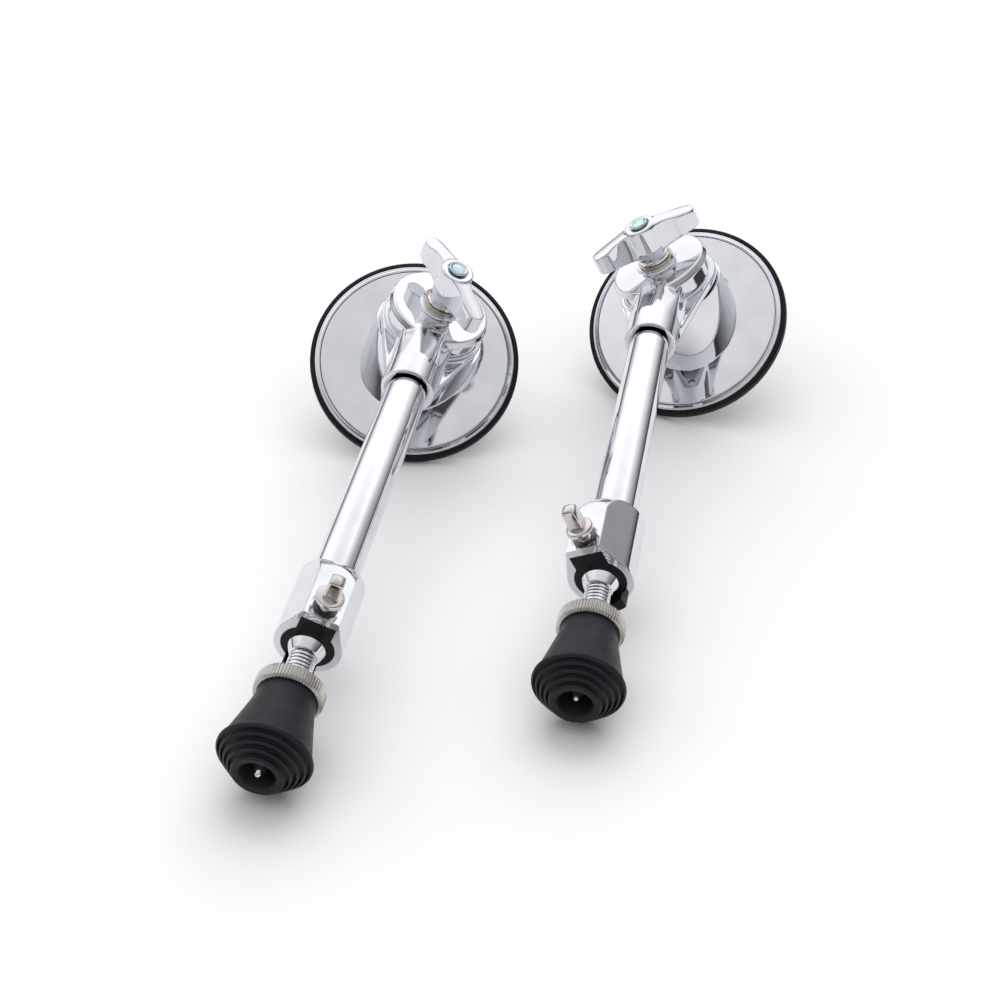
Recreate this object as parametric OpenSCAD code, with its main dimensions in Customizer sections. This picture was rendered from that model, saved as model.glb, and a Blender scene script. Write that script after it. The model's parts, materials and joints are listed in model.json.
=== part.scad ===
// A pair of telescoping bass-drum spurs, lying on a table.
// Each spur is a round base with a slanted turret, a hinged knuckle held by a wing nut,
// a tube with a clamp collar, and a sliding rod with a spike inside a screw-on rubber foot.
// Base frame: origin at the middle of the gasket's underside, +Z out of the drum, +X to the front.
// Leg frame: origin where the hinge axis meets the leg axis, +Z towards the foot, +X up the hinge axis.

/* [Base] */
// Radius of the chromed base disc
disc_r = 51.5; // [46:0.5:60]
// Height of the disc's flat ring above its own underside
disc_t = 2.2; // [2:0.1:4]
// Width of the raised bead round the disc's rim
rim_w = 3.5; // [2:0.1:5]
// How far the rim bead stands above the flat ring
rim_rise = 0.7; // [0.3:0.1:1.5]
// Thickness of the rubber gasket
gasket_t = 2.4; // [1.5:0.1:4]
// How far the gasket stands out past the disc
gasket_lip = 1.5; // [0.5:0.1:3]
// How far the gasket's lip rises beside the disc
gasket_wrap = 1.5; // [0.5:0.1:2]
// Radius of the gasket's middle hole, which clears the bolt head
gasket_hole_r = 12; // [11:0.5:14]
// Tilt of the hinge axis from the drum's surface normal
tilt = 32.5; // [28:0.5:36]
// How far the slanted turret stands out past the knuckle's hub
turret_lip = 2.2; // [1.5:0.1:3]
// Clearance between the knuckle's flange and the disc's flat ring, at the back
flange_gap = 1.6; // [1:0.1:4]
// Radius of the circle of mounting holes in the base
mount_circle_r = 20; // [18:0.5:21]
// Number of mounting holes
mount_count = 4; // [4:1:4]
// Radius of each threaded mounting hole
mount_hole_r = 2.5; // [2:0.1:3]
// Depth of each threaded mounting hole
mount_hole_depth = 11; // [8:0.5:12]

/* [Hinge] */
// Radius of the hinge bolt's shank
bolt_r = 4.85; // [4:0.05:5.5]
// Radius of the hinge bolt's head
bolt_head_r = 8.4; // [7.5:0.1:9]
// Thickness of the hinge bolt's head
bolt_head_t = 5; // [4:0.1:6]
// Height of the bolt's head above the gasket plane, along the hinge axis
bolt_head_h = 6.4; // [6:0.1:8]
// How far the bolt's riveted end stands above the wing nut
bolt_end_out = 2.6; // [1.5:0.1:4]
// Thickness of the friction disc under the knuckle
friction_t = 0.8; // [0.5:0.1:1.5]
// Radius of the knuckle's round hub
hub_r = 25.5; // [24:0.1:27]
// Height of the hub from its underside to its flat top
hub_t = 17.7; // [16:0.1:20]
// Thickness of the knuckle's pear-shaped flange
flange_t = 4; // [3:0.1:5]
// How far the flange stands out past the hub
flange_lip = 0.8; // [0.4:0.1:1.5]
// Depth of the leg axis below the hub's flat top
leg_drop = 9.2; // [8.5:0.1:10]
// Radius of the brass washer
washer_r = 9.5; // [8.5:0.1:11]
// Thickness of the brass washer
washer_t = 1.2; // [0.8:0.1:2]
// Height of the washer's seat above the hub's flat top
washer_seat = 2; // [1:0.1:3]

/* [Wing nut] */
// Length of the wing nut over both wings
wing_span = 58; // [50:1:66]
// Height of the wing nut
wing_h = 20.5; // [18:0.5:24]
// Radius of the wing nut's round boss at the washer
wing_boss_r = 8; // [7:0.1:8.5]
// Thickness of each wing at its root
wing_root_t = 13; // [11:0.5:15]
// Thickness of each wing at its tip
wing_tip_t = 9; // [7:0.5:11]

/* [Leg] */
// Radius of the outer tube
tube_r = 9.525; // [8:0.025:11]
// Wall of the outer tube
tube_wall = 1.3; // [1:0.05:1.6]
// Wall of the knuckle's socket round the tube
socket_wall = 3.475; // [2.5:0.025:4]
// Distance from the hinge axis to the socket's mouth
socket_reach = 59; // [52:0.5:70]
// Depth of the tube inside the socket
socket_depth = 26; // [20:0.5:28]
// Distance from the hinge axis to the collar's lower face
leg_reach = 230; // [190:1:280]
// Gap between the sliding rod and the tube's bore
rod_gap = 0.375; // [0.3:0.025:0.8]
// Length of the sliding rod, from its guide to its cone
rod_l = 128; // [115:1:135]
// How far the rod's cone stands out of the collar in the stored position
rod_out = 1.4; // [1:0.1:40]
// Running clearance between sliding round pieces
run_gap = 0.08; // [0.05:0.01:0.1]
// Clearance between pressed or glued pieces
seat_gap = 0.02; // [0:0.01:0.05]

/* [Clamp collar] */
// Length of the collar along the leg
collar_l = 39; // [36:1:56]
// Wall of the collar's round back, outside the bushing
collar_wall = 3.25; // [2.5:0.05:5]
// Height of the collar's flat screw face above the leg axis
collar_face_h = 20; // [19.6:0.1:22]
// Width of the collar's flat screw face
collar_face_w = 16; // [14:0.5:18]
// Wall of the nylon bushing round the rod
bushing_wall = 3.9; // [3:0.05:4.3]
// Length of the nylon bushing inside the collar
bushing_l = 25; // [22:0.5:28]
// Width of the bushing's key block
key_w = 15.6; // [12:0.2:16]
// Height of the bushing's key block above the leg axis
key_h = 16.4; // [15.5:0.1:16.6]
// Width of the bushing's back tongue
tongue_w = 14; // [10:0.5:16]
// How far the tongue stands out below the collar's face
tongue_out = 4.6; // [2:0.1:6]
// Distance from the collar's lower face to the key screw
screw_inset = 7.5; // [7.5:0.1:11]
// Radius of the key screw's thread
screw_r = 2.9; // [2.4:0.1:3.2]
// Radius of the key screw's flange
screw_flange_r = 5.7; // [5:0.1:6]
// Width of the key screw's square head
screw_head_w = 7; // [6:0.1:7.5]
// Length of the key screw's square head
screw_head_l = 11; // [9:0.5:14]
// How far the screw's flange stands above the collar's flat face
screw_stand = 4.6; // [4:0.1:8]

/* [Foot] */
// Distance from the rod's cone to the foot's lower opening
foot_reach = 69; // [68.5:0.5:80]
// Length of the turned cone at the rod's end
cone_l = 4; // [3:0.5:6]
// Radius of the spike's thread
stud_r = 5; // [4:0.1:5.5]
// Pitch of the spike's thread
pitch = 1.5; // [1:0.25:2]
// How far the spike's point sits inside the foot
spike_depth = 0.8; // [0.5:0.1:8]
// Largest radius of the rubber foot
foot_r = 19.6; // [18:0.1:22]
// Radius of the foot's top
foot_top_r = 12.1; // [11:0.1:14]
// Length of the rubber foot
foot_l = 41; // [36:0.5:45]
// Height of the foot's stepped underside
foot_step_h = 10; // [8:0.5:12]
// Number of steps in the foot's underside
foot_steps = 4; // [3:1:7]
// Radius of the foot's middle hole
foot_hole_r = 7.5; // [6.5:0.1:8]
// Radius of the steel bush inside the foot
insert_r = 8.6; // [8:0.1:10]
// Radius of the knurled lock nut
locknut_r = 14.1; // [13:0.1:17]
// Height of the knurled lock nut
locknut_t = 6; // [5:0.1:9]

/* [Left spur] */
// Swing of the leg from the base's front
left_swing = 19.3; // [10:0.1:30]
// Roll of the spur about its leg
left_roll = -22.4; // [-30:0.1:-15]
// Heading of the leg on the table
left_heading = -101.5; // [-110:0.5:-90]
// Place of the base's middle on the table
left_base_xy = [-64.4, 106.1]; // [-100:0.1:140]
// Turn of the wing nut about the hinge axis
left_wing_turn = 59.5; // [0:0.5:180]
// How far the foot is screwed out
left_foot_out = 0; // [0:0.5:4]

/* [Right spur] */
// Swing of the leg from the base's front
right_swing = -17.7; // [-30:0.1:-10]
// Roll of the spur about its leg
right_roll = 25.3; // [15:0.1:30]
// Heading of the leg on the table
right_heading = -100.1; // [-110:0.5:-90]
// Place of the base's middle on the table
right_base_xy = [79.5, 151.3]; // [-100:0.1:200]
// Turn of the wing nut about the hinge axis
right_wing_turn = 95.3; // [0:0.5:180]
// How far the foot is screwed out
right_foot_out = 2.5; // [0:0.5:4]

/* [Hidden] */
PIECES = [
  "gasket", "base", "hinge_bolt", "friction_disc", "knuckle", "brass_washer", "wing_nut", "tube",
  "roll_pin", "tube_screw", "collar", "bushing", "key_screw", "screw_washer", "rod_guide", "rod",
  "spike_stud", "lock_nut", "foot_insert", "foot"
];
$fn = 96;

gasket_r = disc_r + gasket_lip;
ring_z = gasket_t + disc_t;
rim_z = ring_z + rim_rise;
flange_r = hub_r + flange_lip;
turret_r = hub_r + turret_lip;
knuckle_h = flange_r * tan(tilt) + ring_z / cos(tilt) + flange_gap;
seat_h = knuckle_h - friction_t;
hub_top_h = knuckle_h + hub_t;
leg_h = hub_top_h - leg_drop;
washer_h = hub_top_h + washer_seat;
nut_gap = 0.3;
wing_h0 = washer_h + washer_t + nut_gap;
bolt_top_h = wing_h0 + wing_h + bolt_end_out;
bolt_clear = 0.25;
socket_r = tube_r + socket_wall;
tube_start = socket_reach - socket_depth;
collar_start = leg_reach - collar_l;
tube_end = leg_reach - bushing_l - 1;
tube_bore_r = tube_r - tube_wall;
rod_r = tube_bore_r - rod_gap;
bushing_r = rod_r + bushing_wall;
collar_r = bushing_r + collar_wall;
cone_at = leg_reach + rod_out;
rod_start = cone_at - rod_l;
cone_tip_r = stud_r + 0.2;
screw_at = leg_reach - screw_inset;
counterbore_r = screw_flange_r + 0.8;
screw_washer_t = 0.9;
counterbore_h = collar_face_h - screw_washer_t - 0.3;
guide_l = 12;
insert_from_end = 14;
bead_r = 1.2;
foot_rim_h = foot_step_h - 0.6;

// Height of a point given in the hinge-and-leg axes, once the spur is rolled and declined.
function height(v, roll, decline) =
  -v[0] * sin(decline) + (v[1] * sin(roll) + v[2] * cos(roll)) * cos(decline);
// The base's normal in the hinge-and-leg axes.
function base_normal(swing) = [sin(tilt) * cos(swing), -sin(tilt) * sin(swing), cos(tilt)];
// Lowest point of a circle: middle, axis and radius.
function low_point(middle, axis, r, roll, decline) =
  height(middle, roll, decline) - r * sqrt(1 - pow(height(axis, roll, decline), 2));
function gasket_low(swing, roll, decline) =
  low_point([0, 0, -leg_h], base_normal(swing), gasket_r, roll, decline);
function foot_low(foot_out, roll, decline) =
  low_point([cone_at + foot_reach + foot_out - foot_rim_h, 0, 0], [1, 0, 0], foot_r, roll, decline);
// The decline at which the gasket's edge and the foot's rim both touch the table.
function settle(swing, roll, foot_out, low = -5, high = 30, tries = 30) =
  tries == 0 ? (low + high) / 2
  : gasket_low(swing, roll, (low + high) / 2) > foot_low(foot_out, roll, (low + high) / 2)
    ? settle(swing, roll, foot_out, low, (low + high) / 2, tries - 1)
    : settle(swing, roll, foot_out, (low + high) / 2, high, tries - 1);

// Puts the base frame on the table.
module on_table(swing, roll, heading, base_xy, foot_out) {
  decline = settle(swing, roll, foot_out);
  translate([base_xy[0], base_xy[1], -gasket_low(swing, roll, decline)])
    rotate([0, 0, heading])
      translate([leg_h * cos(roll) * sin(decline), -leg_h * sin(roll), 0])
        rotate([0, decline, 0])
          rotate([roll, 0, 0])
            translate([0, 0, -leg_h])
              rotate([0, 0, -swing])
                rotate([0, tilt, 0]) children();
}

// Along the hinge axis: +Z up the hinge, +X towards the front.
module on_hinge() {
  rotate([0, -tilt, 0]) children();
}

// Along the leg: +Z towards the foot, +X up the hinge axis.
module on_leg(swing) {
  on_hinge() rotate([0, 0, swing]) translate([0, 0, leg_h])
    rotate([0, 90, 0]) rotate([0, 0, 180]) children();
}

// A straight tube or ring between two heights.
module ring(r_out, r_in, from, to) {
  translate([0, 0, from]) difference() {
    cylinder(r = r_out, h = to - from);
    translate([0, 0, -1]) cylinder(r = r_in, h = to - from + 2);
  }
}

// The outline round two circles on the X axis and the straight lines that touch both.
module pear(r1, r2, distance) {
  c = (r1 - r2) / distance;
  s = sqrt(1 - c * c);
  circle(r = r1);
  translate([distance, 0]) circle(r = r2);
  polygon([
    [r1 * c, r1 * s], [r1 * c, -r1 * s],
    [distance + r2 * c, -r2 * s], [distance + r2 * c, r2 * s]
  ]);
}

module mount_holes(r, from, to) {
  for (k = [0:mount_count - 1])
    rotate([0, 0, 45 + k * 360 / mount_count])
      translate([mount_circle_r, 0, from]) cylinder(r = r, h = to - from);
}

module gasket() {
  color([0.05, 0.05, 0.055]) difference() {
    union() {
      cylinder(r = gasket_r, h = gasket_t, $fn = 180);
      ring(gasket_r, disc_r + seat_gap, 0, gasket_t + gasket_wrap);
    }
    translate([0, 0, -1]) cylinder(r = gasket_hole_r, h = gasket_t + 2);
    mount_holes(mount_hole_r + 0.7, -1, gasket_t + 1);
  }
}

// The chromed disc and its slanted turret, one casting.
module base() {
  color([0.86, 0.87, 0.9]) difference() {
    union() {
      rotate_extrude($fn = 180) disc_profile();
      intersection() {
        on_hinge() translate([0, 0, -turret_r]) cylinder(r = turret_r, h = seat_h + turret_r, $fn = 120);
        translate([0, 0, gasket_t]) cylinder(r = disc_r - rim_w, h = 3 * seat_h);
      }
    }
    on_hinge() {
      translate([0, 0, -turret_r]) cylinder(r = bolt_head_r + 0.3, h = turret_r + bolt_head_h + bolt_head_t);
      cylinder(r = bolt_r + run_gap, h = seat_h + 1);
    }
    mount_holes(mount_hole_r, gasket_t - 1, gasket_t + mount_hole_depth);
  }
}

module disc_profile() {
  inner = disc_r - rim_w;
  polygon([
    [0, gasket_t], [disc_r - 0.4, gasket_t], [disc_r, gasket_t + 0.4], [disc_r, rim_z - bead_r],
    for (a = [0:15:90]) [disc_r - bead_r + bead_r * cos(a), rim_z - bead_r + bead_r * sin(a)],
    [inner + rim_rise, rim_z], [inner, ring_z], [0, ring_z]
  ]);
}

module hinge_bolt() {
  tip = 1;
  color([0.75, 0.83, 0.84]) on_hinge() rotate_extrude($fn = 60) polygon([
    [0, bolt_head_h], [bolt_head_r - 1, bolt_head_h], [bolt_head_r, bolt_head_h + 1],
    [bolt_head_r, bolt_head_h + bolt_head_t - 0.05], [bolt_r, bolt_head_h + bolt_head_t - 0.05],
    [bolt_r, bolt_top_h - tip], [bolt_r - tip, bolt_top_h], [0, bolt_top_h]
  ]);
}

module friction_disc() {
  color([0.12, 0.12, 0.13]) on_hinge()
    ring(hub_r - 0.5, bolt_r + bolt_clear, seat_h, knuckle_h - seat_gap);
}

// The cast knuckle in hinge axes, with the leg along +X.
module knuckle_solid() {
  mouth_lip = 0.8;
  socket_from = hub_r - 6;
  translate([0, 0, knuckle_h]) linear_extrude(flange_t) pear(flange_r, socket_r - 1, socket_reach - socket_r);
  rotate_extrude($fn = 120) hub_profile();
  intersection() {
    translate([0, 0, leg_h]) rotate([0, 90, 0]) rotate_extrude($fn = 96) polygon([
      [0, socket_from], [socket_r, socket_from], [socket_r, socket_reach - mouth_lip],
      [socket_r - mouth_lip, socket_reach], [0, socket_reach]
    ]);
    union() {
      translate([0, 0, knuckle_h]) cylinder(r = 2 * socket_reach, h = hub_t * 2);
      translate([turret_r + 1.5, -socket_reach, 0]) cube([2 * socket_reach, 2 * socket_reach, hub_t * 2]);
    }
  }
  // boss under the washer
  translate([0, 0, hub_top_h - 1]) cylinder(r = washer_r + 0.6, h = washer_seat + 1);
  // web that joins the socket to the flange
  translate([0, 0, knuckle_h]) linear_extrude(leg_h - knuckle_h)
    pear(hub_r - 4, socket_r - 1.6, socket_reach - socket_r);
}

module hub_profile() {
  edge = 1.6;
  step_h = hub_top_h - 4.2;
  polygon([
    [0, knuckle_h], [flange_r, knuckle_h], [flange_r, knuckle_h + flange_t - 0.6],
    [flange_r - 0.6, knuckle_h + flange_t], [hub_r - 0.2, knuckle_h + flange_t + 0.8],
    [hub_r - 0.9, step_h - 0.5], [hub_r, step_h],
    for (a = [0:15:90]) [hub_r - edge + edge * cos(a), hub_top_h - edge + edge * sin(a)],
    [0, hub_top_h]
  ]);
}

module knuckle(swing) {
  mouth_r = tube_r + 1.8;
  mouth_depth = 3;
  color([0.86, 0.87, 0.9]) difference() {
    on_hinge() rotate([0, 0, swing]) difference() {
      knuckle_solid();
      translate([0, 0, knuckle_h - 1]) cylinder(r = bolt_r + bolt_clear, h = hub_t + leg_drop);
    }
    on_leg(swing) {
      translate([0, 0, tube_start]) cylinder(r = tube_r + seat_gap, h = 2 * socket_reach);
      translate([0, 0, socket_reach - mouth_depth])
        cylinder(r1 = tube_r, r2 = mouth_r, h = mouth_depth + 0.01);
      roll_pin_place() cylinder(r = pin_r, h = 3 * socket_r, center = true);
      tube_screw_place() cylinder(r = tube_screw_r, h = 2 * socket_r);
    }
  }
}

pin_r = 1.6;
tube_screw_r = 2.5;
module roll_pin_place() {
  translate([-(tube_r - 3.4), 0, socket_reach - 10]) rotate([90, 0, 0]) children();
}
module tube_screw_place() {
  translate([-(tube_r + 0.1), 0, socket_reach - 17]) rotate([0, -90, 0]) children();
}

module brass_washer() {
  color([0.72, 0.63, 0.42]) on_hinge()
    ring(washer_r, bolt_r + bolt_clear, washer_h + seat_gap, washer_h + washer_t);
}

// Wings along X, in hinge axes from the nut's underside.
module wing_nut_solid() {
  half = wing_span / 2;
  tip_low = 0.26 * wing_h;
  tip_high = 0.86 * wing_h;
  intersection() {
    rotate([90, 0, 0]) linear_extrude(2 * wing_root_t, center = true) polygon([
      [-wing_boss_r, 0], [wing_boss_r, 0], [wing_boss_r + 2, 0.2 * wing_h],
      [half - 3, tip_low], [half, tip_low + 3], [half, tip_high - 3], [half - 3, tip_high],
      [wing_boss_r, wing_h], [-wing_boss_r, wing_h],
      [3 - half, tip_high], [-half, tip_high - 3], [-half, tip_low + 3], [3 - half, tip_low],
      [-wing_boss_r - 2, 0.2 * wing_h]
    ]);
    linear_extrude(wing_h) {
      circle(r = wing_root_t / 2 + 2.5);
      for (s = [-1, 1]) {
        translate([s * (half - wing_tip_t / 2), 0]) circle(r = wing_tip_t / 2);
        polygon([
          [0, wing_root_t / 2], [0, -wing_root_t / 2],
          [s * (half - wing_tip_t / 2), -wing_tip_t / 2], [s * (half - wing_tip_t / 2), wing_tip_t / 2]
        ]);
      }
    }
  }
  cylinder(r = wing_boss_r, h = wing_h);
}

module wing_nut(turn) {
  color([0.86, 0.87, 0.9]) on_hinge() rotate([0, 0, turn]) translate([0, 0, wing_h0])
    difference() {
      wing_nut_solid();
      translate([0, 0, -1]) cylinder(r = bolt_r + run_gap, h = wing_h + 2);
    }
}

module tube(swing) {
  color([0.88, 0.89, 0.92]) difference() {
    on_leg(swing) ring(tube_r, tube_bore_r, tube_start, tube_end);
    on_leg(swing) roll_pin_place() cylinder(r = pin_r, h = 3 * socket_r, center = true);
  }
}

module roll_pin(swing) {
  color([0.3, 0.3, 0.32]) on_leg(swing) roll_pin_place() difference() {
    cylinder(r = pin_r - seat_gap, h = 2 * socket_r - 5, center = true);
    cylinder(r = pin_r - 0.5, h = 3 * socket_r, center = true);
  }
}

module tube_screw(swing) {
  length = 2.6;
  color([0.1, 0.1, 0.11]) on_leg(swing) tube_screw_place() difference() {
    cylinder(r = tube_screw_r - seat_gap, h = length);
    translate([0, 0, length - 1.6]) cylinder(r = 1.3, h = 2, $fn = 6);
  }
}

// The collar's outline: a round back and straight sides up to the flat screw face.
module collar_outline() {
  half = collar_face_w / 2;
  d = sqrt(collar_face_h * collar_face_h + half * half);
  a = atan2(half, collar_face_h) + acos(collar_r / d);
  circle(r = collar_r);
  polygon([
    [collar_r * cos(a), collar_r * sin(a)], [collar_r * cos(a), -collar_r * sin(a)],
    [collar_face_h, -half], [collar_face_h, half]
  ]);
}

// The collar's rounded shoulder, turned about the leg axis.
module collar_shoulder() {
  end_r = tube_r + 1.2;
  wide_r = collar_face_h + 3;
  drop = 0.64 * collar_l;
  rotate_extrude($fn = 96) polygon([
    [0, collar_start],
    for (a = [90:-7.5:0])
      [end_r + (wide_r - end_r) * cos(a), collar_start + drop - drop * sin(a)],
    [wide_r, leg_reach], [0, leg_reach]
  ]);
}

module collar(swing) {
  color([0.86, 0.87, 0.9]) on_leg(swing) difference() {
    intersection() {
      translate([0, 0, collar_start]) linear_extrude(collar_l) collar_outline();
      collar_shoulder();
    }
    translate([0, 0, collar_start - 1]) cylinder(r = tube_r + seat_gap, h = collar_l + 2);
    bushing_space(seat_gap);
    translate([0, 0, screw_at]) rotate([0, 90, 0]) {
      cylinder(r = screw_r + run_gap, h = 2 * collar_face_h);
      translate([0, 0, counterbore_h]) cylinder(r = counterbore_r, h = collar_face_h);
    }
  }
}

// The space that the bushing fills: a round bore, a key slot and a back slot.
module bushing_space(gap) {
  from = leg_reach - bushing_l - gap;
  translate([0, 0, from]) {
    cylinder(r = bushing_r + gap, h = bushing_l + 2 * collar_l);
    translate([0, -key_w / 2 - gap, 0]) cube([key_h + gap, key_w + 2 * gap, 2 * bushing_l]);
    translate([-2 * collar_r, -tongue_w / 2 - gap, 0]) cube([2 * collar_r, tongue_w + 2 * gap, 2 * bushing_l]);
  }
}

module bushing(swing) {
  from = leg_reach - bushing_l;
  tongue_r = collar_r + 0.4;
  color([0.04, 0.04, 0.045]) on_leg(swing) difference() {
    union() {
      translate([0, 0, from]) cylinder(r = bushing_r, h = bushing_l);
      translate([0, -key_w / 2, from]) cube([key_h, key_w, bushing_l]);
      intersection() {
        ring(tongue_r, bushing_r - 1, from, leg_reach + tongue_out);
        translate([-2 * collar_r, -tongue_w / 2, 0]) cube([2 * collar_r, tongue_w, 2 * leg_reach]);
      }
    }
    translate([0, 0, from - 1]) cylinder(r = rod_r + run_gap, h = bushing_l + 2);
  }
}

module key_screw(swing) {
  flange_h = collar_face_h + screw_stand;
  flange_t2 = 1.6;
  head_h = flange_h + flange_t2;
  tip_h = key_h + 0.3;
  color([0.78, 0.75, 0.72]) on_leg(swing) translate([0, 0, screw_at]) rotate([0, 90, 0]) {
    rotate_extrude($fn = 60) polygon([
      [0, tip_h], [screw_r, tip_h], [screw_r, flange_h - 1.8], [screw_r + 1.3, flange_h - 1.8],
      [screw_r + 1.3, flange_h], [screw_flange_r, flange_h], [screw_flange_r, head_h - 0.5],
      [screw_flange_r - 0.5, head_h], [0, head_h]
    ]);
    intersection() {
      translate([-screw_head_w / 2, -screw_head_w / 2, head_h - 0.01])
        cube([screw_head_w, screw_head_w, screw_head_l]);
      translate([0, 0, head_h - 0.01]) rotate_extrude($fn = 60) polygon([
        [0, 0], [screw_head_w * 0.66, 0], [screw_head_w * 0.66, screw_head_l - 2.2],
        [screw_head_w * 0.34, screw_head_l], [0, screw_head_l]
      ]);
    }
  }
}

module screw_washer(swing) {
  color([0.6, 0.6, 0.62]) on_leg(swing) translate([0, 0, screw_at]) rotate([0, 90, 0])
    ring(screw_flange_r - 0.2, screw_r + 0.3, counterbore_h, counterbore_h + screw_washer_t);
}

module rod_guide(swing) {
  color([0.85, 0.85, 0.82]) on_leg(swing)
    ring(tube_bore_r - run_gap, stud_r, rod_start - guide_l, rod_start);
}

module rod(swing) {
  bore_l = 30;
  color([0.86, 0.87, 0.9]) on_leg(swing) difference() {
    union() {
      translate([0, 0, rod_start]) cylinder(r = rod_r, h = rod_l);
      translate([0, 0, cone_at]) cylinder(r1 = rod_r, r2 = cone_tip_r, h = cone_l);
      translate([0, 0, rod_start - guide_l]) cylinder(r = stud_r - seat_gap, h = guide_l + 1);
    }
    translate([0, 0, cone_at + cone_l - bore_l]) cylinder(r = stud_r - 0.6 + seat_gap, h = bore_l + 1);
  }
}

// The threaded spike. Its thread is drawn as rings.
module spike_stud(swing) {
  from = cone_at + cone_l - 29;
  thread_from = cone_at + cone_l + 1.2;
  tip_at = cone_at + foot_reach - spike_depth;
  point_l = 9;
  core_r = stud_r - 0.6;
  turns = floor((tip_at - point_l - thread_from) / pitch);
  color([0.8, 0.81, 0.84]) on_leg(swing) rotate_extrude($fn = 48) polygon([
    [0, from], [core_r, from], [core_r, thread_from],
    for (k = [0:turns - 1]) for (q = [[0, 0], [0.35, 1], [0.6, 1], [0.95, 0]])
      [core_r + (stud_r - core_r) * q[1], thread_from + (k + q[0]) * pitch],
    [core_r, tip_at - point_l], [0.4, tip_at], [0, tip_at]
  ]);
}

// Foot pieces are placed from the foot's lower opening, back along the leg.
module on_foot(swing, foot_out) {
  on_leg(swing) translate([0, 0, cone_at + foot_reach + foot_out]) mirror([0, 0, 1]) children();
}

module lock_nut(swing, foot_out) {
  from = foot_l + 0.4;
  edge = 0.8;
  recess_r = foot_top_r + 0.4;
  color([0.74, 0.73, 0.71]) on_foot(swing, foot_out) rotate_extrude($fn = 96) polygon([
    [stud_r + run_gap, from + 1], [recess_r, from + 1], [recess_r, from], [locknut_r - edge, from],
    [locknut_r, from + edge], [locknut_r, from + locknut_t - edge],
    [locknut_r - edge, from + locknut_t], [stud_r + run_gap, from + locknut_t]
  ]);
}

module foot_insert(swing, foot_out) {
  color([0.55, 0.55, 0.57]) on_foot(swing, foot_out)
    ring(insert_r, stud_r + run_gap, insert_from_end, foot_l + 0.2);
}

module foot(swing, foot_out) {
  low_r = foot_hole_r + 2.6;
  step_w = (foot_r - low_r) / foot_steps;
  step_h = foot_step_h / foot_steps;
  color([0.09, 0.09, 0.1]) on_foot(swing, foot_out) rotate_extrude($fn = 96) polygon([
    [foot_hole_r, 0], for (k = [0:foot_steps - 1]) for (q = [0, 1])
      [low_r + (k + q * 0.8) * step_w, (k + q * 0.3) * step_h],
    [foot_r, foot_rim_h], [foot_r, foot_step_h + 0.4],
    for (k = [1:6]) let (q = k / 6)
      [foot_r - (foot_r - foot_top_r) * (1 - pow(1 - q, 1.35)),
        foot_step_h + 0.4 + (foot_l - foot_step_h - 0.4) * q],
    [insert_r + seat_gap, foot_l], [insert_r + seat_gap, insert_from_end - seat_gap],
    [foot_hole_r, insert_from_end - seat_gap]
  ]);
}

// One piece of a spur, by name.
module piece(name, swing, wing_turn, foot_out) {
  if (name == "gasket") gasket();
  if (name == "base") base();
  if (name == "hinge_bolt") hinge_bolt();
  if (name == "friction_disc") friction_disc();
  if (name == "knuckle") knuckle(swing);
  if (name == "brass_washer") brass_washer();
  if (name == "wing_nut") wing_nut(wing_turn);
  if (name == "tube") tube(swing);
  if (name == "roll_pin") roll_pin(swing);
  if (name == "tube_screw") tube_screw(swing);
  if (name == "collar") collar(swing);
  if (name == "bushing") bushing(swing);
  if (name == "key_screw") key_screw(swing);
  if (name == "screw_washer") screw_washer(swing);
  if (name == "rod_guide") rod_guide(swing);
  if (name == "rod") rod(swing);
  if (name == "spike_stud") spike_stud(swing);
  if (name == "lock_nut") lock_nut(swing, foot_out);
  if (name == "foot_insert") foot_insert(swing, foot_out);
  if (name == "foot") foot(swing, foot_out);
}

module left(name) {
  on_table(left_swing, left_roll, left_heading, left_base_xy, left_foot_out)
    piece(name, left_swing, left_wing_turn, left_foot_out);
}

module right(name) {
  on_table(right_swing, right_roll, right_heading, right_base_xy, right_foot_out)
    piece(name, right_swing, right_wing_turn, right_foot_out);
}

for (name = PIECES) left(name);
for (name = PIECES) right(name);
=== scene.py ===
import bpy
import json
from math import atan, atan2, cos, degrees, pi, radians, sin, sqrt, tan
from mathutils import Matrix, Vector


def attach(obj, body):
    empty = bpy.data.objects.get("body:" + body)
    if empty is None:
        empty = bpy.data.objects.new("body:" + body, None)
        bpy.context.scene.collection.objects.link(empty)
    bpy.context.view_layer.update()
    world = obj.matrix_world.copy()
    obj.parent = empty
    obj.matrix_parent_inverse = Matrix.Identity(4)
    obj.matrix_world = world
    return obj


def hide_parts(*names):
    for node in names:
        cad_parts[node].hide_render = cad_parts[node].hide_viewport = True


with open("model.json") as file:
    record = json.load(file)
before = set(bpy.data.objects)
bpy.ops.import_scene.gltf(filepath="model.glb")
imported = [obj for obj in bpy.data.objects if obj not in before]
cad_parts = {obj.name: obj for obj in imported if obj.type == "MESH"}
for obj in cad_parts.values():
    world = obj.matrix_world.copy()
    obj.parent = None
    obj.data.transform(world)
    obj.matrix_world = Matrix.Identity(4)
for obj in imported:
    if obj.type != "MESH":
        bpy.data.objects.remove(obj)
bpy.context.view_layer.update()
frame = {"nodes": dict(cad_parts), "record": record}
bpy.ops.object.select_all(action="DESELECT")
print("frame loaded")

record = frame["record"]
joints = {joint["name"]: joint for joint in record["behaviour"]["joints"]}
mounts = {mount["name"]: mount for mount in record["mounts"]}
sides = ("left", "right")

# Shapes are drawn in millimetres, each in the frame of the part it belongs to, then placed in metres.
millimetre = 0.001


def localFrame(origin, xAxis, zAxis):
    turn = Matrix((xAxis, zAxis.cross(xAxis), zAxis)).transposed().to_4x4()
    return Matrix.Translation(origin) @ turn @ Matrix.Scale(millimetre, 4)


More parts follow.
